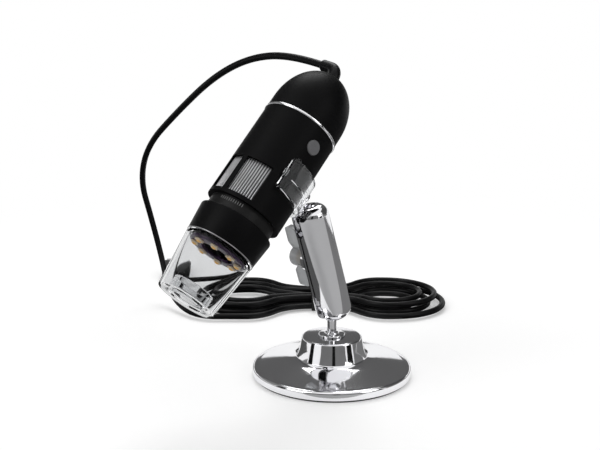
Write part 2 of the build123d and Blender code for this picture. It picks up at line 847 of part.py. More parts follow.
free_points = [
    boot_end,
    boot_end + first_heading * first_run,
    Vector(-37.0, 46.0, 135.6),
    Vector(-56.0, 64.0, 126.0),
    Vector(-76.5, 84.0, 108.0),
    Vector(-95.0, 101.0, 89.5),
    Vector(-101.5, 112.0, 69.0),
    Vector(-97.5, 118.0, 48.0),
    Vector(-92.5, 117.0, 27.0),
    Vector(-87.0, 106.0, 10.0),
    Vector(-78.5, 90.0, 3.4),
    Vector(-66.0, 75.0, hank_rise),
    Vector(-49.0, 75.0, hank_rise),
]
plug_rise = 4.2
lead_points = [
    Vector(-49.0, 135.0, hank_rise + layer_step),
    Vector(-64.0, 135.0, hank_rise + layer_step),
    Vector(-79.5, 138.5, 5.4),
    Vector(-90.0, 146.0, plug_rise),
    Vector(-91.0, 156.0, plug_rise),
]


def corner_radii(points):
    """The largest arcs that leave room for each other at a route's corners."""
    radii = []
    for before, here, after in zip(points, points[1:], points[2:]):
        turn = radians((here - before).get_angle(after - here))
        shorter = min((here - before).length, (after - here).length)
        radii.append(corner_share * shorter / tan(turn / 2))
    return radii


def cord_tube(points):
    """A round tube along a route of straight runs joined by arcs."""
    radii = corner_radii(points)
    print("cord radii", [round(r, 1) for r in radii])
    with BuildLine() as line:
        FilletPolyline(*points, radius=radii)
    with BuildSketch(Plane(origin=points[0], z_dir=points[1] - points[0])) as section:
        Circle(cord_radius)
    sweep(section.sketch, path=line.wires()[0])
    print("cord length", round(line.wires()[0].length, 1))


with BuildPart() as cord_free:
    cord_tube(free_points)
finish(cord_free, "cord_free")

with BuildPart() as cord_lead:
    cord_tube(lead_points)
finish(cord_lead, "cord_lead")

# Hank: loops nested in two layers, in from the front left and out at the back left
lower_layer = hank_rise
upper_layer = hank_rise + layer_step
# Each run: its loop, the layer it starts in, the layer it ends in. Runs go right and left by turns
hank_runs = [
    (outer_loop, lower_layer, lower_layer),
    (outer_loop, lower_layer, lower_layer),
    (middle_loop, lower_layer, lower_layer),
    (middle_loop, lower_layer, lower_layer),
    (inner_loop, lower_layer, lower_layer),
    (inner_loop, lower_layer, upper_layer),
    (inner_loop, upper_layer, upper_layer),
    (middle_loop, upper_layer, upper_layer),
    (middle_loop, upper_layer, upper_layer),
    (outer_loop, upper_layer, upper_layer),
]


def hank_place(x, y, height):
    """A point of the hank, from its centre."""
    return hank_centre + Vector(x, y, height)


def bend(start, end, heading):
    """Two tangent arcs from start to end, which leave and arrive along heading."""
    run = (end - start).dot(heading)
    shift = end - start - heading * run
    half_turn = atan(shift.length / run)
    bend_radius = run / 2 / sin(2 * half_turn)
    to_arc = heading * (bend_radius * sin(half_turn))
    to_arc += shift.normalized() * (bend_radius * (1 - cos(half_turn)))
    middle = (start + end) * 0.5
    ThreePointArc(start, start + to_arc, middle)
    ThreePointArc(middle, end - to_arc, end)


def hank_run(direction, loop, low, high):
    """One run through the waist, from one end's lobe to the other's."""
    heading = Vector(direction, 0, 0)
    lobe_radius, waist_place, waist_run = loop
    lobe_y, waist_y = -direction * lobe_radius, -direction * waist_place
    lobe_start = hank_place(-direction * lobe_reach, lobe_y, low)
    waist_start = hank_place(-direction * waist_run, waist_y, low)
    waist_end = hank_place(direction * waist_run, waist_y, high)
    lobe_end = hank_place(direction * lobe_reach, lobe_y, high)
    bend(lobe_start, waist_start, heading)
    if low == high:
        Line(waist_start, waist_end)
    else:
        bend(waist_start, waist_end, heading)
    bend(waist_end, lobe_end, heading)
    return lobe_start, lobe_end


with BuildPart() as cord_hank:
    with BuildLine() as hank_line:
        ends = [hank_run((-1) ** i, *run) for i, run in enumerate(hank_runs)]
        for i, ((_, lobe_in), (lobe_out, _)) in enumerate(zip(ends, ends[1:])):
            turn_radius = abs(lobe_out.Y - lobe_in.Y) / 2
            lobe_tip = (lobe_in + lobe_out) * 0.5 + Vector((-1) ** i * turn_radius, 0, 0)
            ThreePointArc(lobe_in, lobe_tip, lobe_out)
        Line(ends[0][0] - Vector(hank_lead, 0, 0), ends[0][0])
        Line(ends[-1][1], ends[-1][1] - Vector(hank_lead, 0, 0))
    hank_wire = hank_line.wires()[0]
    hank_start = ends[0][0] - Vector(hank_lead, 0, 0)
    with BuildSketch(Plane(origin=hank_start, z_dir=Vector(1, 0, 0))) as hank_section:
        Circle(cord_radius)
    sweep(hank_section.sketch, path=hank_wire)
finish(cord_hank, "cord_hank")
print("hank length", round(hank_wire.length, 1))


def least_gap(wire, step, apart):
    """The least clear gap of a tube to itself, between points at least apart along it."""
    count = int(wire.length / step)
    places = [wire.position_at(i / count) for i in range(count + 1)]
    skip = int(apart / step)
    nearest = min((p - q).length for i, p in enumerate(places) for q in places[i + skip :])
    return nearest - 2 * cord_radius


gap_step = 2.0
gap_apart = 24.0
print("hank least gap", round(least_gap(hank_wire, gap_step, gap_apart), 2))

# Tie round the hank's waist
tie_wall = 0.7
tie_width = 5.0
tie_gap = 0.3
tie_inner_width = 2 * (outer_loop[1] + cord_radius + tie_gap)
tie_inner_height = 2 * (cord_radius + tie_gap) + layer_step
tie_round = 1.6
with BuildPart() as cord_tie:
    tie_plane = Plane(
        origin=hank_centre + up * (hank_rise + layer_step / 2),
        x_dir=Vector(0, 1, 0),
        z_dir=Vector(1, 0, 0),
    )
    with BuildSketch(tie_plane):
        RectangleRounded(
            tie_inner_width + 2 * tie_wall, tie_inner_height + 2 * tie_wall, tie_round + tie_wall
        )
        RectangleRounded(tie_inner_width, tie_inner_height, tie_round, mode=Mode.SUBTRACT)
    extrude(amount=tie_width / 2, both=True)
finish(cord_tie, "cord_tie")

# Plug: overmould, metal shell, tongue and contacts
overmould_length = 22.0
overmould_width = 15.4
overmould_height = 2 * plug_rise - thin_gap
overmould_neck = 6.4
shell_width = 12.0
shell_height = 4.5
shell_length = 12.0
shell_sheet = 0.3
shell_root = 3.0
tongue_height = 1.9
tongue_width = 11.2
contact_width = 1.0
contact_pitch = 2.3
contact_height = 0.15
contact_count = 4

plug_heading = (lead_points[-1] - lead_points[-2]).normalized()
plug_plane = Plane(origin=lead_points[-1], x_dir=plug_heading.cross(up), z_dir=plug_heading)

with BuildPart() as plug_overmould:
    with BuildSketch(plug_plane):
        RectangleRounded(overmould_neck, overmould_neck, overmould_neck / 4)
    with BuildSketch(plug_plane.offset(overmould_neck)):
        RectangleRounded(overmould_width, overmould_height, overmould_neck / 4)
    loft()
    with BuildSketch(plug_plane.offset(overmould_neck)):
        RectangleRounded(overmould_width, overmould_height, overmould_neck / 4)
    extrude(amount=overmould_length - overmould_neck)
    with BuildSketch(plug_plane.offset(overmould_length)):
        Rectangle(shell_width + thin_gap, shell_height + thin_gap)
    extrude(amount=-shell_root, mode=Mode.SUBTRACT)
finish(plug_overmould, "plug_overmould")

with BuildPart() as plug_shell:
    with BuildSketch(plug_plane.offset(overmould_length - shell_root)):
        Rectangle(shell_width, shell_height)
        Rectangle(shell_width - 2 * shell_sheet, shell_height - 2 * shell_sheet, mode=Mode.SUBTRACT)
    extrude(amount=shell_length + shell_root)
    with BuildSketch(Plane(origin=plug_plane.origin, x_dir=plug_heading, z_dir=up)):
        window_place = overmould_length + shell_length / 2
        with Locations((window_place, contact_pitch), (window_place, -contact_pitch)):
            Rectangle(contact_pitch, contact_pitch)
    extrude(amount=shell_height, mode=Mode.SUBTRACT)
finish(plug_shell, "plug_shell")

tongue_drop = shell_height / 2 - shell_sheet - tongue_height
with BuildPart() as plug_tongue:
    with BuildSketch(plug_plane.offset(overmould_length - shell_root)):
        with Locations((0, -tongue_drop - tongue_height / 2)):
            Rectangle(tongue_width, tongue_height)
    extrude(amount=shell_length + shell_root - shell_sheet)
finish(plug_tongue, "plug_tongue")

with BuildPart() as plug_contacts:
    with BuildSketch(plug_plane.offset(overmould_length)):
        with Locations((0, -tongue_drop + contact_height / 2)):
            with GridLocations(contact_pitch, contact_height, contact_count, 1):
                Rectangle(contact_width, contact_height)
    extrude(amount=shell_length - 2 * contact_width)
finish(plug_contacts, "plug_contacts")
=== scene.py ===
"""USB digital microscope on its stand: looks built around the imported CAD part.

Every piece is in metres, in the part's own frame, with +Z up and the origin under the base.
"""

import json
import math

import bmesh
import bpy
from mathutils import Matrix, Vector


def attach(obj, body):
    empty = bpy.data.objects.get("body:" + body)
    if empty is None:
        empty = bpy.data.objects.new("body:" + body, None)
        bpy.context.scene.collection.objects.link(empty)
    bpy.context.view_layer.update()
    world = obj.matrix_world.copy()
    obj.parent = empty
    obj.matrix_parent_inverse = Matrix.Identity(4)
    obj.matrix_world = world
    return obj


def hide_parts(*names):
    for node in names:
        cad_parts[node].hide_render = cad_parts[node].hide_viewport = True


bl_info = {
    "name": "Digital microscope",
    "version": (1, 0, 0),
    "blender": (4, 5, 0),
    "location": "View3D > Sidebar > Microscope",
    "description": "Builds a USB digital microscope on a ball-jointed stand",
    "category": "Object",
}

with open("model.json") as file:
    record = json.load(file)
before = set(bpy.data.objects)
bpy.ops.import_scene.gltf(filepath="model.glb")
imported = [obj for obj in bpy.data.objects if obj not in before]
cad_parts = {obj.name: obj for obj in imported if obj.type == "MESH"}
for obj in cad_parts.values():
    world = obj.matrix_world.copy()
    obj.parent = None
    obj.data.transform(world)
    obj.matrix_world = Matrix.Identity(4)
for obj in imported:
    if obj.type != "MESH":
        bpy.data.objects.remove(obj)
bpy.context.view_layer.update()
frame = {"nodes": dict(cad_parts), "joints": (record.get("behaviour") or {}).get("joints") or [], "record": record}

MM = 0.001
BODY_OF = {n: b for b, group in frame["record"]["behaviour"]["bodies"].items() for n in group}
JOINT = {j["name"]: j for j in frame["joints"]}
UP = Vector((0, 0, 1))


def axes_matrix(origin, x_dir, z_dir):
    """The matrix that puts a piece made along local Z at a place in the frame."""
    z_dir = Vector(z_dir).normalized()
    x_dir = (Vector(x_dir) - z_dir * Vector(x_dir).dot(z_dir)).normalized()
    y_dir = z_dir.cross(x_dir)
    matrix = Matrix((x_dir, y_dir, z_dir)).transposed().to_4x4()
    matrix.translation = Vector(origin)
    return matrix


# The lower ball's place and the microscope's frame, read from the joints: local Z runs along the
# barrel from the nose to the dome, from zero at the trim ring, and local X towards the clip's stem
LOWER_BALL = Vector(JOINT["arm_swing"]["pos_m"])
RING_CENTRE = Vector(JOINT["scope_turn"]["pos_m"])
SCOPE_AXIS = Vector(JOINT["scope_turn"]["axis"])
STEM_AXIS = Vector(JOINT["clip_spin"]["axis"])
SCOPE = axes_matrix(RING_CENTRE, -STEM_AXIS, SCOPE_AXIS)


class StandLooks(bpy.types.PropertyGroup):
    """Sizes and colours of the stand."""

    chrome: bpy.props.FloatVectorProperty(
        name="Chrome", description="Colour of the bright plating", subtype="COLOR",
        default=(0.86, 0.86, 0.88), size=3, min=0, max=1,
    )
    base_radius: bpy.props.FloatProperty(
        name="Base radius", description="Outer radius of the round base", unit="LENGTH",
        default=34.5 * MM, min=0.02, max=0.06,
    )
    rim_round: bpy.props.FloatProperty(
        name="Rim rounding", description="Radius of the base's rolled rim", unit="LENGTH",
        default=1.3 * MM, min=0.0002, max=0.0016,
    )


class ScopeLooks(bpy.types.PropertyGroup):
    """Sizes and colours of the microscope."""

    body_radius: bpy.props.FloatProperty(
        name="Body radius", description="Outer radius of the black housings", unit="LENGTH",
        default=16 * MM, min=0.01, max=0.02,
    )
    black: bpy.props.FloatVectorProperty(
        name="Body colour", description="Colour of the soft-touch housings", subtype="COLOR",
        default=(0.0024, 0.0024, 0.0027), size=3, min=0, max=1,
    )
    rib_count: bpy.props.IntProperty(
        name="Drum ribs", description="Lengthwise ribs round the focus drum", default=84,
        min=12, max=120,
    )
    tick_count: bpy.props.IntProperty(
        name="Scale ticks", description="Plain ticks on the recessed waist", default=11,
        min=4, max=40,
    )
    led_count: bpy.props.IntProperty(
        name="Lamps", description="Lamps on the ring board", default=8, min=2, max=16,
    )


class CordLooks(bpy.types.PropertyGroup):
    """Sizes of the lead."""

    diameter: bpy.props.FloatProperty(
        name="Cord diameter", description="Diameter of the lead", unit="LENGTH",
        default=3.2 * MM, min=0.001, max=0.008,
    )
    length: bpy.props.FloatProperty(
        name="Cord length", description="Real length of the lead", unit="LENGTH",
        default=1.83, min=0.5, max=3,
    )


class StageLooks(bpy.types.PropertyGroup):
    """The floor and the light."""

    floor: bpy.props.FloatVectorProperty(
        name="Floor colour", description="Colour of the pale floor", subtype="COLOR",
        default=(0.93, 0.93, 0.93), size=3, min=0, max=1,
    )
    shade: bpy.props.FloatProperty(
        name="Floor shade", description="How much of the light and shadow the floor shows",
        default=0.8, min=0, max=1,
    )
    glow: bpy.props.FloatProperty(
        name="Floor glow", description="White that the floor shows of itself", default=0.3,
        min=0, max=1,
    )
    sky: bpy.props.FloatProperty(
        name="Sky light", description="Strength of the even light from all sides", default=0.5,
        min=0, max=2,
    )
    key_power: bpy.props.FloatProperty(
        name="Key lamp", description="Power of the large lamp on the left", default=2.4,
        min=0, max=50,
    )


# ---------------------------------------------------------------- materials

NOISE_DETAIL = 3
RAMP_ENDS = (0.3, 0.7)
BUMP_STRENGTH = 0.6


def finish(name, colour, roughness, grain=None, bump=0.0, spread=0.0, rough_spread=0.0, **sockets):
    """A material whose colour and roughness vary with a fine noise in the piece's own space."""
    material = bpy.data.materials.new(name)
    material.use_nodes = True
    nodes, links = material.node_tree.nodes, material.node_tree.links
    shader = nodes["Principled BSDF"]
    shader.inputs["Base Color"].default_value = (*colour, 1)
    shader.inputs["Roughness"].default_value = roughness
    for socket, value in sockets.items():
        shader.inputs[socket.replace("_", " ")].default_value = value
    if not grain:
        return material
    place = nodes.new("ShaderNodeTexCoord")
    noise = nodes.new("ShaderNodeTexNoise")
    noise.inputs["Scale"].default_value = grain
    noise.inputs["Detail"].default_value = NOISE_DETAIL
    links.new(place.outputs["Object"], noise.inputs["Vector"])
    if spread:
        ramp = nodes.new("ShaderNodeValToRGB")
        for element, place_on_ramp, share in zip(
            ramp.color_ramp.elements, RAMP_ENDS, (1 - spread, 1 + spread)
        ):
            element.position = place_on_ramp
            element.color = (*[min(1, max(0, c * share)) for c in colour], 1)
        links.new(noise.outputs["Fac"], ramp.inputs["Fac"])
        links.new(ramp.outputs["Color"], shader.inputs["Base Color"])
    if rough_spread:
        reach = nodes.new("ShaderNodeMapRange")
        reach.inputs["To Min"].default_value = max(0.0, roughness - rough_spread)
        reach.inputs["To Max"].default_value = min(1.0, roughness + rough_spread)
        links.new(noise.outputs["Fac"], reach.inputs["Value"])
        links.new(reach.outputs["Result"], shader.inputs["Roughness"])
    if bump:
        lift = nodes.new("ShaderNodeBump")
        lift.inputs["Strength"].default_value = BUMP_STRENGTH
        lift.inputs["Distance"].default_value = bump
        links.new(noise.outputs["Fac"], lift.inputs["Height"])
        links.new(lift.outputs["Normal"], shader.inputs["Normal"])
    return material


def make_finishes():
    """All the materials, by a plain name."""
    stand, scope = bpy.context.scene.stand_looks, bpy.context.scene.scope_looks
    clear = dict(Transmission_Weight=1.0, IOR=1.45)
    made = {
        "chrome": finish(
            "chrome_plate", stand.chrome, 0.07, 90, 0.000004, 0.02, 0.03, Metallic=1.0
        ),
        "steel": finish(
            "turned_steel", (0.55, 0.55, 0.57), 0.28, 900, 0.00001, 0.1, 0.08, Metallic=1.0
        ),
        "iron": finish("cast_ballast", (0.1, 0.1, 0.1), 0.7, 500, 0.00008, 0.3, 0.1, Metallic=0.6),
        "brass": finish(
            "brass_insert", (0.6, 0.42, 0.16), 0.3, 700, 0.00001, 0.1, 0.06, Metallic=1.0
        ),
        "gold": finish(
            "gold_contact", (0.75, 0.55, 0.2), 0.22, 700, 0.000004, 0.08, 0.04, Metallic=1.0
        ),
        "pad": finish("pad_rubber", (0.012, 0.012, 0.012), 0.8, 1500, 0.00003, 0.2, 0.05),
        "soft_black": finish(
            "soft_touch_black", scope.black, 0.46, 2600, 0.000012, 0.25, 0.05,
            Specular_IOR_Level=0.07,
        ),
        "black": finish(
            "moulded_black", (0.006, 0.006, 0.006), 0.42, 1200, 0.00001, 0.2, 0.06,
            Specular_IOR_Level=0.2,
        ),
        "grey": finish("button_grey", (0.115, 0.115, 0.12), 0.5, 2000, 0.00001, 0.1, 0.05),
        "clear": finish("clear_plastic", (0.93, 0.94, 0.95), 0.05, 60, 0.00001, 0.0, 0.03, **clear),
        "cap": finish(
            "clear_cap", (0.79, 0.795, 0.8), 0.05, 60, 0.00001, 0.0, 0.03,
            Transmission_Weight=1.0, IOR=1.08,
        ),
        "smoke": finish(
            "smoke_plastic", (0.5, 0.51, 0.52), 0.25, 300, 0.00002, 0.05, 0.05,
            Transmission_Weight=0.55, IOR=1.47,
        ),
        "silver": finish(
            "satin_silver", (0.4, 0.4, 0.41), 0.32, 800, 0.00001, 0.06, 0.07, Metallic=0.9
        ),
        # A darker copy of the ribs' satin silver for the drum's core between the ribs: painted shade in the
        # valleys
        "valley": finish(
            "drum_valley_painted_shade", (0.07, 0.07, 0.07), 0.4, 800, 0.00001, 0.1, 0.07, Metallic=0.9
        ),
        "barrel": finish(
            "anodised_black", (0.02, 0.02, 0.02), 0.35, 900, 0.000008, 0.2, 0.06, Metallic=0.7
        ),
        "board": finish(
            "board_mask", (0.02, 0.007, 0.028), 0.3, 420, 0.00002, 0.5, 0.08,
            Specular_IOR_Level=0.25,
        ),
        "chip": finish("chip_black", (0.02, 0.02, 0.021), 0.4, 1400, 0.00001, 0.2, 0.05),
        "lamp": finish("lamp_body", (0.6, 0.5, 0.36), 0.35, 1500, 0.00001, 0.04, 0.05),
        "phosphor": finish("lamp_phosphor", (0.8, 0.46, 0.13), 0.5, 2000, 0.00001, 0.1, 0.05),
        "glass": finish(
            "coated_glass", (0.82, 0.9, 0.93), 0.02, 50, 0.0, 0.0, 0.01,
            Transmission_Weight=1.0, IOR=1.52,
        ),
        "cord": finish(
            "cord_jacket", (0.003, 0.003, 0.0034), 0.36, 700, 0.00003, 0.2, 0.08,
            Specular_IOR_Level=0.14,
        ),
        "tick": finish("tick_paint", (0.3, 0.3, 0.3), 0.5, 2500, 0.000004, 0.08, 0.05),
    }
    return made


FINISHES = {}


# ---------------------------------------------------------------- mesh helpers

MERGE_DISTANCE = 0.002 * MM
TINY = 0.001 * MM
TURNED_MERGE = 0.0001 * MM
TURNED_TINY = 0.00001 * MM
COARSE_SEGMENTS, ROUND_SEGMENTS, RING_SEGMENTS, FINE_SEGMENTS = 96, 128, 160, 192
FLAT_ANGLE = 0.6
PLAIN_ANGLE = 28.0
CORNER_SHARE = 0.49
ROD_ROUNDING = 0.7


def new_piece(name, mesh):
    """A new object for a mesh that already lies in its place."""
    piece = bpy.data.objects.new(name, mesh)
    bpy.context.scene.collection.objects.link(piece)
    return piece


def smooth_edges(bm, angle):
    """Smooth shading, with edges sharper than an angle in degrees kept sharp."""
    for face in bm.faces:
        face.smooth = True
    for edge in bm.edges:
        flat = len(edge.link_faces) == 2 and edge.calc_face_angle(0) < math.radians(angle)
        edge.smooth = flat


def settle(piece, material, node, *more_nodes, shown=True):
    """Gives a piece its finish and its body; when shown, the CAD nodes that it stands for are hidden."""
    if piece.data.materials:
        piece.data.materials.clear()
    piece.data.materials.append(FINISHES[material])
    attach(piece, BODY_OF[node])
    if shown:
        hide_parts(node, *more_nodes)
    return piece


def dressed(node, material, edge=0.0, angle=PLAIN_ANGLE):
    """A smooth copy of a CAD node, with its outer edges rounded by a radius in millimetres."""
    bm = bmesh.new()
    bm.from_mesh(frame["nodes"][node].data)
    bmesh.ops.remove_doubles(bm, verts=bm.verts, dist=MERGE_DISTANCE)
    bmesh.ops.dissolve_degenerate(bm, dist=TINY, edges=bm.edges)
    if edge:
        bmesh.ops.dissolve_limit(
            bm, angle_limit=math.radians(FLAT_ANGLE), verts=bm.verts, edges=bm.edges
        )
        weight = bm.edges.layers.float.new("bevel_weight_edge")
        for line in bm.edges:
            if line.is_convex and line.calc_face_angle(0) > math.radians(angle):
                line[weight] = 1
    smooth_edges(bm, angle)
    mesh = bpy.data.meshes.new(node + "_dressed")
    bm.to_mesh(mesh)
    bm.free()
    piece = new_piece(node + "_dressed", mesh)
    if edge:
        bevel = piece.modifiers.new("edges", "BEVEL")
        bevel.width = edge * MM
        bevel.segments = 2
        bevel.limit_method = "WEIGHT"
        bevel.harden_normals = False
        bake(piece)
    return settle(piece, material, node)


def dress_all(table):
    """Dresses the nodes of a table of node, finish, edge radius and edge angle."""
    return [dressed(*row) for row in table]


def bake(piece):
    """Turns a piece's modifiers into its plain mesh."""
    graph = bpy.context.evaluated_depsgraph_get()
    mesh = bpy.data.meshes.new_from_object(piece.evaluated_get(graph))
    piece.modifiers.clear()
    piece.data = mesh
    return piece


def rounded(points, steps=6):
    """An outline of (radius, height, rounding) corners with each corner rounded by an arc."""
    outline = []
    count = len(points)
    for i, (r, z, size) in enumerate(points):
        here = Vector((r, z))
        if not size:
            outline.append(here)
            continue
        before = Vector(points[i - 1][:2]) - here
        after = Vector(points[(i + 1) % count][:2]) - here
        half = before.angle(after) / 2
        longest = CORNER_SHARE * min(before.length, after.length)
        back = min(size / math.tan(half), longest)
        radius = back * math.tan(half)
        centre = here + (before.normalized() + after.normalized()).normalized() * (
            radius / math.sin(half)
        )
        start = here + before.normalized() * back - centre
        end = here + after.normalized() * back - centre
        turn = start.angle_signed(end)
        for k in range(steps + 1):
            part = start.copy()
            part.rotate(Matrix.Rotation(-turn * k / steps, 2))
            outline.append(centre + part)
    return outline


def turned(name, outline, matrix, segments=ROUND_SEGMENTS, angle=30.0):
    """A closed form spun from a closed outline of (radius, height) points about local Z."""
    bm = bmesh.new()
    rings = []
    for i in range(segments):
        turn = 2 * math.pi * i / segments
        rings.append([
            bm.verts.new((p[0] * math.cos(turn), p[0] * math.sin(turn), p[1])) for p in outline
        ])
    count = len(outline)
    for i, ring in enumerate(rings):
        following = rings[(i + 1) % segments]
        for k in range(count):
            bm.faces.new((ring[k], following[k], following[(k + 1) % count], ring[(k + 1) % count]))
    bmesh.ops.remove_doubles(bm, verts=bm.verts, dist=TURNED_MERGE)
    bmesh.ops.dissolve_degenerate(bm, dist=TURNED_TINY, edges=bm.edges)
    bmesh.ops.recalc_face_normals(bm, faces=bm.faces)
    smooth_edges(bm, angle)
    mesh = bpy.data.meshes.new(name)
    bm.to_mesh(mesh)
    bm.free()
    mesh.transform(matrix)
    return new_piece(name, mesh)


def mm_outline(*points, steps=6):
    """A rounded outline whose corners are given in millimetres."""
    corners = [(r * MM, z * MM, (rest[0] if rest else 0) * MM) for r, z, *rest in points]
    return rounded(corners, steps)


# ---------------------------------------------------------------- geometry nodes


def ring_tree():
    """Geometry Nodes: copies of a part on an arc, each turned to face outwards."""
    if "parts_on_an_arc" in bpy.data.node_groups:
        return bpy.data.node_groups["parts_on_an_arc"]
    tree = bpy.data.node_groups.new("parts_on_an_arc", "GeometryNodeTree")
    face = tree.interface
    face.new_socket("Geometry", in_out="INPUT", socket_type="NodeSocketGeometry")
    for name, kind in (
        ("Part", "Object"), ("Count", "Int"), ("Radius", "Float"), ("Start", "Float"),
        ("Step", "Float"), ("Finish", "Material"),
    ):
        face.new_socket(name, in_out="INPUT", socket_type="NodeSocket" + kind)
    face.new_socket("Geometry", in_out="OUTPUT", socket_type="NodeSocketGeometry")
    nodes, links = tree.nodes, tree.links
    given, out = nodes.new("NodeGroupInput"), nodes.new("NodeGroupOutput")
    points = nodes.new("GeometryNodePoints")
    index = nodes.new("GeometryNodeInputIndex")
    turn = nodes.new("ShaderNodeMath")
    turn.operation = "MULTIPLY_ADD"
    links.new(index.outputs[0], turn.inputs[0])
    links.new(given.outputs["Step"], turn.inputs[1])
    links.new(given.outputs["Start"], turn.inputs[2])
    place = nodes.new("ShaderNodeCombineXYZ")
    for operation, socket in (("COSINE", "X"), ("SINE", "Y")):
        wave, scaled = nodes.new("ShaderNodeMath"), nodes.new("ShaderNodeMath")
        wave.operation, scaled.operation = operation, "MULTIPLY"
        links.new(turn.outputs[0], wave.inputs[0])
        links.new(wave.outputs[0], scaled.inputs[0])
        links.new(given.outputs["Radius"], scaled.inputs[1])
        links.new(scaled.outputs[0], place.inputs[socket])
    facing = nodes.new("ShaderNodeCombineXYZ")
    links.new(turn.outputs[0], facing.inputs["Z"])
    part = nodes.new("GeometryNodeObjectInfo")
    links.new(given.outputs["Part"], part.inputs["Object"])
    copies = nodes.new("GeometryNodeInstanceOnPoints")
    real, paint = nodes.new("GeometryNodeRealizeInstances"), nodes.new("GeometryNodeSetMaterial")
    links.new(given.outputs["Count"], points.inputs["Count"])
    links.new(place.outputs[0], points.inputs["Position"])
    links.new(points.outputs[0], copies.inputs["Points"])
    links.new(part.outputs["Geometry"], copies.inputs["Instance"])
    links.new(facing.outputs[0], copies.inputs["Rotation"])
    links.new(copies.outputs[0], real.inputs[0])
    links.new(real.outputs[0], paint.inputs["Geometry"])
    links.new(given.outputs["Finish"], paint.inputs["Material"])
    links.new(paint.outputs[0], out.inputs[0])
    return tree


def on_arc(name, part, count, radius, material, start=0.0, step=None):
    """Copies of a part along an arc about the barrel's axis, or all round it, as one mesh."""
    holder = new_piece(name, bpy.data.meshes.new(name))
    modifier = holder.modifiers.new("arc", "NODES")
    modifier.node_group = ring_tree()
    values = {
        "Part": part, "Count": count, "Radius": radius * MM, "Start": start,
        "Step": step or 2 * math.pi / count, "Finish": FINISHES[material],
    }
    for item in modifier.node_group.interface.items_tree:
        if item.in_out == "INPUT" and item.name in values:
            modifier[item.identifier] = values[item.name]
    bake(holder)
    bpy.data.objects.remove(part)
    holder.data.transform(SCOPE)
    return holder


def small_block(name, size, edge, foot):
    """A block with softened edges, centred on local X and Y; size, edge and foot are in mm."""
    bm = bmesh.new()
    bmesh.ops.create_cube(bm, size=1)
    bmesh.ops.scale(bm, vec=[side * MM for side in size], verts=bm.verts)
    bmesh.ops.translate(bm, vec=(0, 0, (foot + size[2] / 2) * MM), verts=bm.verts)
    bmesh.ops.bevel(
        bm, geom=bm.edges[:] + bm.verts[:], offset=edge * MM, segments=2, affect="EDGES",
        profile=0.5,
    )
    smooth_edges(bm, 50)
    mesh = bpy.data.meshes.new(name)
    bm.to_mesh(mesh)
    bm.free()
    return new_piece(name, mesh)


def half_rod(name, radius, length):
    """A rod along local Z with rounded ends, standing on local Z zero; its sizes are in mm."""
    corner = radius * ROD_ROUNDING
    outline = mm_outline(
        (0, 0), (radius, 0, corner), (radius, length, corner), (0, length), steps=2
    )
    return turned(name, outline, Matrix(), segments=10, angle=60)


# ---------------------------------------------------------------- sizes in millimetres

# Outlines list (radius, height, rounding) corners. Heights are above the table for the stand, and
# along the barrel from the trim ring for the microscope, where they are negative towards the
# nose. Turns, starts, steps and angles are in degrees
SHELL_LOW, SHELL_HIGH = 1.0, 4.5
SHELL_OUTLINE = (
    (31.6, 4.75, 1.2), (29.5, 5.1), (26, 5.65), (22.5, 6.25), (19.5, 6.85), (17.2, 7.45),
    (15.9, 8.05), (15.35, 8.4, 0.8), (14.6, 10.2), (13.9, 12.6), (12.95, 17.2, 1.0), (2.2, 17.2),
    (2.2, 16.2), (11.9, 16.2), (14.4, 6.9), (31.3, 3.6), (33.5, 3.5), (33.5, SHELL_LOW),
)
PAD_OUTLINE = ((0, 0), (33.6, 0, 0.2), (33.9, 0.5), (33.9, SHELL_LOW), (0, SHELL_LOW))
POST_RADIUS, BALL_RADIUS, BALL_STEPS = 2.0, 5.5, 24
POST_OUTLINE = (
    (0, 1.8), (POST_RADIUS, 1.8, 0.3), (POST_RADIUS, 17.2), (5.75, 17.2), (5.75, 18.3, 0.5),
    (3.1, 18.35, 0.3), (2.9, 19.0, 0.3), (POST_RADIUS, 19.3),
)
HOUSING_WALL = 1.5
RING_OVERHANG, RING_FRONT, RING_BACK, RING_ROUND = 0.4, -0.5, 0.6, 0.35
DOME_START, DOME_HEIGHT, DOME_STEPS = 6, 21, 20
DOME_INNER_HEIGHT, DOME_INNER_STEPS = 19.5, 14
DOME_TURN, DOME_INNER_TURN = 80.65, 79.5
LOWER_OUTLINE = ((13.35, -47.8), (15.8, -47.8, 0.6), (14.6, -59.6, 0.3), (13.35, -59.6))
RIM_LINE_OUTLINE = ((13.4, -59.35), (14.75, -59.35, 0.1), (14.75, -59.62, 0.1), (13.4, -59.62))
TICK_SIZE, TICK_EDGE, TICK_DROP, TICK_RADIUS = (0.1, 0.2, 1.3), 0.03, -45.0, 14.0
TICK_START, TICK_STEP = 190, 4
DRUM_OUTLINE = (
    (11.85, -25.6), (14.5, -25.6, 0.2), (14.5, -41.2, 0.2), (11.85, -41.2), (11.85, -39.8),
    (13.4, -39.8), (13.4, -27.0), (11.85, -27.0),
)
RIB_RADIUS, RIB_LENGTH, RIB_DROP, RIB_REACH = 0.38, 15.2, -41.0, 14.5
CAP_OUTLINE = (
    (14.6, -59.7, 0.15), (12.0, -84.0, 0.9), (7.2, -84.0, 0.3), (7.2, -77.5, 0.2),
    (8.4, -77.5, 0.2), (8.4, -82.7, 0.3), (10.7, -82.7, 0.5), (13.3, -61.0, 0.3),
    (12.3, -61.0), (12.3, -55.7), (13.2, -55.7, 0.2), (13.2, -59.7),
)
LED_BOARD_OUTLINE = ((7.0, -60.8), (12.0, -60.8), (12.0, -62.0, 0.1), (7.0, -62.0, 0.1))
LAMP_SIZE, LAMP_EDGE, LAMP_DROP, LAMP_RADIUS = (2.8, 2.8, 0.8), 0.12, -62.8, 9.6
PHOSPHOR_OUTLINE = ((0, 0), (1.0, 0), (0.85, -0.35, 0.2), (0, -0.5))
HOOK_RADIUS, HOOK_LENGTH, HOOK_REACH, HOOK_DROP = 0.8, 3.4, 17.4, -26.2
HOOK_ANGLES = (("front", -107.0), ("back", 107.0))

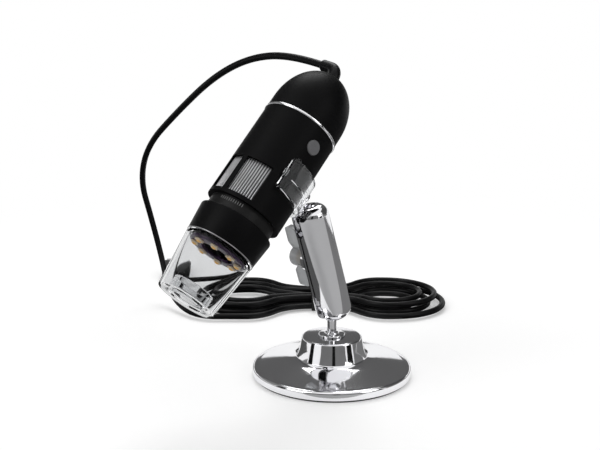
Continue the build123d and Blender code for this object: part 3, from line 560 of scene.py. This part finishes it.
# Dressed copies of CAD nodes: node, finish, edge radius, and the angle that counts as an edge
STAND_PIECES = (("base_weight", "iron"), ("post_nut", "steel"))
ARM_PIECES = (
    ("arm_shell_front", "chrome", 0.35, 35), ("arm_shell_rear", "chrome", 0.35, 35),
    ("clamp_screw", "steel", 0.15), ("wing_knob", "smoke", 0.5, 35), ("knob_insert", "brass"),
    ("clip_ball", "chrome"),
)
CASING_PIECES = (("snap_button", "grey", 0.12, 40), ("chassis", "black"))
INNER_PIECES = (
    ("lens_barrel", "barrel"), ("drive_pin", "steel"), ("front_lens", "glass"),
    ("rear_lens", "glass"), ("sensor_board", "board"), ("image_sensor", "chip"),
    ("main_board", "board"), ("board_chips", "chip"), ("chassis_screws", "steel"),
    ("snap_switch", "black"), ("switch_board", "board"),
)
CORD_PIECES = (
    ("cord_tie", "black", 0.25), ("plug_overmould", "black", 0.5, 20),
    ("plug_shell", "steel", 0.1), ("plug_tongue", "black", 0.1), ("plug_contacts", "gold", 0.03),
)


# ---------------------------------------------------------------- operators


class MICROSCOPE_OT_base(bpy.types.Operator):
    """The round base with its bright shell, and the ball post."""

    bl_idname = "microscope.base"
    bl_label = "Base and post"

    def execute(self, context):
        looks = context.scene.stand_looks
        outer, rim = looks.base_radius / MM, looks.rim_round / MM
        shell = mm_outline((outer, SHELL_LOW), (outer, SHELL_HIGH, rim), *SHELL_OUTLINE)
        settle(turned("base_shell_bright", shell, Matrix(), FINE_SEGMENTS), "chrome", "base_shell")
        pad = mm_outline(*PAD_OUTLINE, steps=3)
        settle(turned("base_pad_soft", pad, Matrix()), "pad", "base_pad")
        ball = []
        start = math.asin(POST_RADIUS / BALL_RADIUS)
        for i in range(BALL_STEPS + 1):
            turn = start + (math.pi - start) * i / BALL_STEPS
            height = LOWER_BALL.z / MM - BALL_RADIUS * math.cos(turn)
            ball.append((BALL_RADIUS * math.sin(turn), height))
        post = mm_outline(*POST_OUTLINE, *ball)
        settle(turned("ball_post_bright", post, Matrix(), COARSE_SEGMENTS), "chrome", "ball_post")
        dress_all(STAND_PIECES)
        return {"FINISHED"}


class MICROSCOPE_OT_arm(bpy.types.Operator):
    """The two arm shells, their screw, the wing knob and the clip's ball."""

    bl_idname = "microscope.arm"
    bl_label = "Arm and knob"

    def execute(self, context):
        dress_all(ARM_PIECES)
        return {"FINISHED"}


class MICROSCOPE_OT_clip(bpy.types.Operator):
    """The clear clip with its rib, its lips and a small hook on each lip."""

    bl_idname = "microscope.clip"
    bl_label = "Clip"

    def execute(self, context):
        dressed("clip", "clear", 0.3, 35)
        for name, angle in HOOK_ANGLES:
            hook = half_rod("clip_hook_" + name, HOOK_RADIUS, HOOK_LENGTH)
            turn = Matrix.Rotation(math.radians(angle), 4, "Z")
            place = Matrix.Translation((HOOK_REACH * MM, 0, HOOK_DROP * MM))
            hook.data.transform(SCOPE @ turn @ place)
            settle(hook, "clear", "clip", shown=False)
        return {"FINISHED"}


class MICROSCOPE_OT_casing(bpy.types.Operator):
    """The black housings, the dome, the trim ring, the button and what shows between them."""

    bl_idname = "microscope.casing"
    bl_label = "Casing"

    def execute(self, context):
        looks = context.scene.scope_looks
        radius = looks.body_radius / MM
        inner = radius - HOUSING_WALL
        dome = [(radius, RING_BACK), (radius, DOME_START)]
        for i in range(1, DOME_STEPS + 1):
            turn = math.radians(DOME_TURN) * i / DOME_STEPS
            dome.append((radius * math.cos(turn), DOME_START + DOME_HEIGHT * math.sin(turn)))
        inside = []
        for i in range(DOME_INNER_STEPS + 1):
            turn = math.radians(DOME_INNER_TURN) * (DOME_INNER_STEPS - i) / DOME_INNER_STEPS
            height = DOME_START + DOME_INNER_HEIGHT * math.sin(turn)
            inside.append((inner * math.cos(turn), height))
        cap = mm_outline(*dome, *inside, (inner, RING_BACK))
        settle(turned("rear_cap_soft", cap, SCOPE), "soft_black", "rear_cap")
        bright = radius + RING_OVERHANG
        ring = mm_outline(
            (inner, RING_FRONT), (bright, RING_FRONT, RING_ROUND),
            (bright, RING_BACK, RING_ROUND), (inner, RING_BACK),
        )
        settle(turned("trim_ring_bright", ring, SCOPE, RING_SEGMENTS), "chrome", "trim_ring")
        dressed("upper_housing", "soft_black", 0.22, 35)
        lower = mm_outline(*LOWER_OUTLINE, steps=4)
        settle(turned("lower_housing_soft", lower, SCOPE), "soft_black", "lower_housing")
        line = turned("lower_rim_line", mm_outline(*RIM_LINE_OUTLINE, steps=2), SCOPE)
        settle(line, "silver", "lower_housing", shown=False)
        dress_all(CASING_PIECES)
        tick = small_block("tick_seed", TICK_SIZE, TICK_EDGE, TICK_DROP)
        ticks = on_arc(
            "waist_ticks", tick, looks.tick_count, TICK_RADIUS, "tick",
            math.radians(TICK_START), math.radians(TICK_STEP),
        )
        settle(ticks, "tick", "chassis", shown=False)
        return {"FINISHED"}


class MICROSCOPE_OT_drum(bpy.types.Operator):
    """The ribbed focus drum behind the windows, with painted shade on its core between the ribs."""

    bl_idname = "microscope.drum"
    bl_label = "Focus drum"

    def execute(self, context):
        looks = context.scene.scope_looks
        core = mm_outline(*DRUM_OUTLINE, steps=3)
        # The core between the ribs takes the darker copy of the ribs' metal: painted shade in the valleys
        settle(turned("focus_drum_core", core, SCOPE), "valley", "focus_drum")
        rib = half_rod("rib_seed", RIB_RADIUS, RIB_LENGTH)
        rib.data.transform(Matrix.Translation((0, 0, RIB_DROP * MM)))
        ribs = on_arc("focus_drum_ribs", rib, looks.rib_count, RIB_REACH, "silver")
        settle(ribs, "silver", "focus_drum", shown=False)
        return {"FINISHED"}


class MICROSCOPE_OT_nose(bpy.types.Operator):
    """The clear nose cap, the ring board and its lamps."""

    bl_idname = "microscope.nose"
    bl_label = "Nose cap and lamps"

    def execute(self, context):
        looks = context.scene.scope_looks
        cap = mm_outline(*CAP_OUTLINE, steps=4)
        settle(turned("nose_cap_clear", cap, SCOPE), "cap", "nose_cap")
        board = mm_outline(*LED_BOARD_OUTLINE, steps=2)
        settle(turned("led_board_ring", board, SCOPE, COARSE_SEGMENTS), "board", "led_board")
        seed = small_block("lamp_seed", LAMP_SIZE, LAMP_EDGE, LAMP_DROP)
        lamps = on_arc("lamp_bodies", seed, looks.led_count, LAMP_RADIUS, "lamp")
        settle(lamps, "lamp", "leds")
        dome = mm_outline(*PHOSPHOR_OUTLINE, steps=3)
        seed = turned("phosphor_seed", dome, Matrix.Translation((0, 0, LAMP_DROP * MM)), 20, 50)
        domes = on_arc("lamp_domes", seed, looks.led_count, LAMP_RADIUS, "phosphor")
        settle(domes, "phosphor", "leds", shown=False)
        return {"FINISHED"}


class MICROSCOPE_OT_insides(bpy.types.Operator):
    """The lens barrel, the lenses, the boards and the screws inside the housings."""

    bl_idname = "microscope.insides"
    bl_label = "Optics and boards"

    def execute(self, context):
        dress_all(INNER_PIECES)
        return {"FINISHED"}


class MICROSCOPE_OT_lead(bpy.types.Operator):
    """The lead with its boot, its hank and tie, and the plug."""

    bl_idname = "microscope.lead"
    bl_label = "Lead and plug"

    def execute(self, context):
        looks = context.scene.cord_looks
        route = [*FREE_ROUTE, *hank_route(), *LEAD_ROUTE]
        curve = bpy.data.curves.new("lead_line", "CURVE")
        curve.dimensions = "3D"
        spline = curve.splines.new("NURBS")
        spline.points.add(len(route) - 1)
        for point, place in zip(spline.points, route):
            point.co = (*[c * MM for c in place], 1)
        spline.order_u = 3
        spline.use_endpoint_u = True
        spline.resolution_u = 10
        curve.bevel_depth = looks.diameter / 2
        curve.bevel_resolution = 4
        curve.use_fill_caps = True
        lead = bpy.data.objects.new("lead", curve)
        context.scene.collection.objects.link(lead)
        settle(lead, "cord", "cord_hank", "cord_free", "cord_lead")
        dressed("cord_boot", "cord", 0.2)
        pieces = dress_all(CORD_PIECES)
        return {"FINISHED"}


# The lead's route in millimetres: from the boot to the hank, round the hank, and on to the plug
FREE_ROUTE = [
    (-3.91, 11.67, 132.46), (-17.85, 26.71, 137.0), (-37.0, 46.0, 135.6), (-56.0, 64.0, 126.0),
    (-76.5, 84.0, 108.0), (-95.0, 101.0, 89.5), (-101.5, 112.0, 69.0), (-97.5, 118.0, 48.0),
    (-92.5, 117.0, 27.0), (-87.0, 106.0, 10.0), (-78.5, 90.0, 3.4), (-66.0, 75.0, 2.6),
    (-49.0, 75.0, 2.6),
]
LEAD_ROUTE = [
    (-49.0, 135.0, 6.4), (-64.0, 135.0, 6.4), (-79.5, 138.5, 5.4), (-90.0, 146.0, 4.2),
    (-91.0, 156.0, 4.2),
]
HANK_CENTRE = (-5.0, 105.0)
HANK_LAYERS = (2.6, 6.4)
LOBE_REACH = 40.0
LOBE_RADII = (30.0, 22.0, 14.0)
WAIST_PLACES = (11.0, 6.8, 2.6)
WAIST_RUNS = (4.0, 8.0, 12.0)
LOBE_POINTS = 6
# Each run: heading along X, side of the waist, loop number, layer it starts in, layer it ends in
HANK_RUNS = [
    (1, -1, 0, 0, 0), (-1, 1, 0, 0, 0), (1, -1, 1, 0, 0), (-1, 1, 1, 0, 0), (1, -1, 2, 0, 0),
    (-1, 1, 2, 0, 1), (1, -1, 2, 1, 1), (-1, 1, 1, 1, 1), (1, -1, 1, 1, 1), (-1, 1, 0, 1, 1),
]


def hank_route():
    """Control points of the hank: lobes at both ends and runs drawn in at the waist."""
    route = []
    cx, cy = HANK_CENTRE
    for i, (heading, side, loop, low, high) in enumerate(HANK_RUNS):
        z_low, z_high = HANK_LAYERS[low], HANK_LAYERS[high]
        lobe_y, waist_y = side * LOBE_RADII[loop], side * WAIST_PLACES[loop]
        run = LOBE_REACH - WAIST_RUNS[loop]
        half = math.atan(abs(lobe_y - waist_y) / run)
        corner = run / 2 / math.sin(2 * half) * math.tan(half)
        starts = -heading * LOBE_REACH
        route += [
            (cx + starts + heading * corner, cy + lobe_y, z_low),
            (cx - heading * (WAIST_RUNS[loop] + corner), cy + waist_y, z_low),
            (cx + heading * (WAIST_RUNS[loop] + corner), cy + waist_y, z_high),
            (cx - starts - heading * corner, cy + lobe_y, z_high),
        ]
        if i + 1 == len(HANK_RUNS):
            break
        next_y = HANK_RUNS[i + 1][1] * LOBE_RADII[HANK_RUNS[i + 1][2]]
        middle, radius = (lobe_y + next_y) / 2, (next_y - lobe_y) / 2
        step = math.pi / LOBE_POINTS
        reach = abs(radius) / math.cos(step / 2)
        for k in range(LOBE_POINTS):
            turn = -math.pi / 2 + step * (k + 0.5)
            route.append((
                cx - starts + heading * reach * math.cos(turn),
                cy + middle + math.copysign(reach, radius) * math.sin(turn),
                z_high,
            ))
    return route


# Studio cards that only the bright metal shows: name, place, width and height in metres, shade;
# one at floor level lies flat, and the others face the object
FLAT_BELOW = 0.01
CARDS = (
    ("card_back", (0.0, 1.2, 0.95), 3.2, 1.3, 0.18),
    ("card_back_left", (-1.35, 0.45, 0.9), 1.3, 1.4, 0.36),
    ("card_back_right", (1.35, 0.45, 0.9), 1.3, 1.4, 0.12),
    ("card_left", (-1.2, -0.3, 0.35), 0.35, 1.0, 0.01),
    ("card_right", (1.1, -0.55, 0.3), 0.45, 0.9, 0.01),
    ("card_front", (0.1, -1.1, 0.4), 0.2, 0.7, 0.01),
    ("card_grey", (0.1, -1.7, 0.5), 3.4, 1.5, 0.3),
    ("card_side", (1.7, 0.3, 0.5), 1.4, 1.2, 0.3),
    ("card_floor", (0.0, -0.62, 0.001), 1.8, 1.164, 0.5),
    ("card_floor_left", (-0.54, 0.262, 0.001), 1.0, 0.6, 0.1),
    ("card_floor_right", (0.54, 0.262, 0.001), 1.0, 0.6, 0.22),
)


FLOOR_SIZE = 4
SHADOW_CENTRE = (-0.02, 0.05, 0)
SHADOW_NEAR, SHADOW_FAR = 0.16, 0.42
AIM = Vector((-0.02, 0, 0.07))
# Lamps: name, place, size in metres, share of the key lamp's power
LAMPS = (
    ("key", (-0.7, -0.45, 0.75), 0.5, 1.0),
    ("fill", (0.75, -0.5, 0.5), 0.4, 0.5),
    ("top", (0.0, 0.6, 0.9), 0.5, 1.5),
)
# The camera, found from the photograph's ellipses: its place in millimetres, how far it looks
# down in degrees, its focal length in pixels of the picture's width, and its sensor's width
CAMERA_PLACE = (-13.81, -362.69, 137.74)
CAMERA_DOWN = 11.18
FOCAL_PIXELS, PICTURE_WIDTH = 871.73, 600
SENSOR_WIDTH = 36


def flat_sheet(name, matrix, width, height):
    """A flat stage sheet of one face, centred on a matrix's place and facing along its Z."""
    mesh = bpy.data.meshes.new(name)
    x, y = width / 2, height / 2
    mesh.from_pydata([(-x, -y, 0), (x, -y, 0), (x, y, 0), (-x, y, 0)], [], [(0, 1, 2, 3)])
    mesh.transform(matrix)
    return new_piece(name, mesh)


def seen_rays(nodes, links):
    """A factor of one for what the camera sees, also in metal and through clear plastic."""
    rays = nodes.new("ShaderNodeLightPath")
    found = rays.outputs["Is Camera Ray"]
    for name in ("Is Glossy Ray", "Is Transmission Ray"):
        larger = nodes.new("ShaderNodeMath")
        larger.operation = "MAXIMUM"
        links.new(found, larger.inputs[0])
        links.new(rays.outputs[name], larger.inputs[1])
        found = larger.outputs[0]
    return found


def floor_finish(looks):
    """Pale paint that keeps the shadow near the object and runs into the white backdrop."""
    material = bpy.data.materials.new("floor_paint")
    material.use_nodes = True
    nodes, links = material.node_tree.nodes, material.node_tree.links
    nodes.clear()
    out = nodes.new("ShaderNodeOutputMaterial")
    paint, shade = nodes.new("ShaderNodeBsdfDiffuse"), nodes.new("ShaderNodeBsdfDiffuse")
    paint.inputs["Color"].default_value = (*looks.floor, 1)
    shade.inputs["Color"].default_value = (looks.shade, looks.shade, looks.shade, 1)
    glow, white = nodes.new("ShaderNodeEmission"), nodes.new("ShaderNodeEmission")
    glow.inputs["Strength"].default_value = looks.glow
    white.inputs["Strength"].default_value = 1.0
    near, fade, mix = (
        nodes.new("ShaderNode" + kind) for kind in ("AddShader", "MixShader", "MixShader")
    )
    links.new(shade.outputs[0], near.inputs[0])
    links.new(glow.outputs[0], near.inputs[1])
    place = nodes.new("ShaderNodeTexCoord")
    shift, reach = nodes.new("ShaderNodeVectorMath"), nodes.new("ShaderNodeVectorMath")
    shift.operation, reach.operation = "SUBTRACT", "LENGTH"
    shift.inputs[1].default_value = SHADOW_CENTRE
    links.new(place.outputs["Object"], shift.inputs[0])
    links.new(shift.outputs[0], reach.inputs[0])
    soft = nodes.new("ShaderNodeMapRange")
    soft.interpolation_type = "SMOOTHSTEP"
    soft.inputs["From Min"].default_value = SHADOW_NEAR
    soft.inputs["From Max"].default_value = SHADOW_FAR
    links.new(reach.outputs["Value"], soft.inputs["Value"])
    links.new(soft.outputs["Result"], fade.inputs["Fac"])
    links.new(near.outputs[0], fade.inputs[1])
    links.new(white.outputs[0], fade.inputs[2])
    links.new(seen_rays(nodes, links), mix.inputs["Fac"])
    links.new(paint.outputs[0], mix.inputs[1])
    links.new(fade.outputs[0], mix.inputs[2])
    links.new(mix.outputs[0], out.inputs["Surface"])
    return material


class MICROSCOPE_OT_stage(bpy.types.Operator):
    """The pale floor, the lamps and the camera."""

    bl_idname = "microscope.stage"
    bl_label = "Stage"

    def execute(self, context):
        looks = context.scene.stage_looks
        floor = flat_sheet("floor", Matrix(), FLOOR_SIZE, FLOOR_SIZE)
        floor.data.materials.append(floor_finish(looks))
        world = bpy.data.worlds.new("studio")
        context.scene.world = world
        world.use_nodes = True
        nodes, links = world.node_tree.nodes, world.node_tree.links
        nodes.clear()
        out = nodes.new("ShaderNodeOutputWorld")
        lit, plain = nodes.new("ShaderNodeBackground"), nodes.new("ShaderNodeBackground")
        for shader, strength in ((lit, looks.sky), (plain, 1.0)):
            shader.inputs["Color"].default_value = (1, 1, 1, 1)
            shader.inputs["Strength"].default_value = strength
        mix = nodes.new("ShaderNodeMixShader")
        links.new(seen_rays(nodes, links), mix.inputs["Fac"])
        links.new(lit.outputs[0], mix.inputs[1])
        links.new(plain.outputs[0], mix.inputs[2])
        links.new(mix.outputs[0], out.inputs["Surface"])
        for name, place, size, share in LAMPS:
            data = bpy.data.lights.new(name, "AREA")
            data.size = size
            data.energy = looks.key_power * share
            lamp = bpy.data.objects.new(name, data)
            lamp.location = place
            lamp.rotation_euler = (AIM - Vector(place)).to_track_quat("-Z", "Y").to_euler()
            context.scene.collection.objects.link(lamp)
        for name, place, width, height, shade in CARDS:
            towards = AIM - Vector(place) if place[2] > FLAT_BELOW else UP
            facing = towards.to_track_quat("Z", "Y").to_matrix().to_4x4()
            card = flat_sheet(name, Matrix.Translation(place) @ facing, width, height)
            card.data.materials.append(finish(name, (shade,) * 3, 0.9, Specular_IOR_Level=0.0))
            for kind in ("camera", "diffuse", "shadow", "transmission"):
                setattr(card, "visible_" + kind, False)
        camera = bpy.data.cameras.new("camera")
        camera.sensor_width = SENSOR_WIDTH
        camera.lens = FOCAL_PIXELS / PICTURE_WIDTH * SENSOR_WIDTH
        holder = bpy.data.objects.new("camera", camera)
        holder.location = [c * MM for c in CAMERA_PLACE]
        holder.rotation_euler = (math.radians(90 - CAMERA_DOWN), 0, 0)
        context.scene.collection.objects.link(holder)
        context.scene.camera = holder
        context.scene.view_settings.view_transform = "Standard"
        return {"FINISHED"}


class MICROSCOPE_PT_panel(bpy.types.Panel):
    """Lists the pieces and their sizes and colours."""

    bl_label = "Digital microscope"
    bl_idname = "MICROSCOPE_PT_panel"
    bl_space_type = "VIEW_3D"
    bl_region_type = "UI"
    bl_category = "Microscope"

    def draw(self, context):
        for group in ("stand_looks", "scope_looks", "cord_looks", "stage_looks"):
            looks = getattr(context.scene, group)
            box = self.layout.box()
            for name in looks.__annotations__:
                box.prop(looks, name)
        for operator in OPERATORS:
            self.layout.operator(operator.bl_idname)


OPERATORS = (
    MICROSCOPE_OT_base, MICROSCOPE_OT_arm, MICROSCOPE_OT_clip, MICROSCOPE_OT_casing,
    MICROSCOPE_OT_drum, MICROSCOPE_OT_nose, MICROSCOPE_OT_insides, MICROSCOPE_OT_lead,
    MICROSCOPE_OT_stage,
)
GROUPS = {
    "stand_looks": StandLooks, "scope_looks": ScopeLooks, "cord_looks": CordLooks,
    "stage_looks": StageLooks,
}


def register():
    for cls in (*GROUPS.values(), *OPERATORS, MICROSCOPE_PT_panel):
        bpy.utils.register_class(cls)
    for name, cls in GROUPS.items():
        setattr(bpy.types.Scene, name, bpy.props.PointerProperty(type=cls))


def unregister():
    for name in GROUPS:
        delattr(bpy.types.Scene, name)
    for cls in reversed((*GROUPS.values(), *OPERATORS, MICROSCOPE_PT_panel)):
        bpy.utils.unregister_class(cls)


def main():
    """Builds every piece and the stage."""
    register()
    FINISHES.update(make_finishes())
    for cls in OPERATORS:
        group, name = cls.bl_idname.split(".")
        getattr(getattr(bpy.ops, group), name)()


if __name__ == "__main__":
    main()
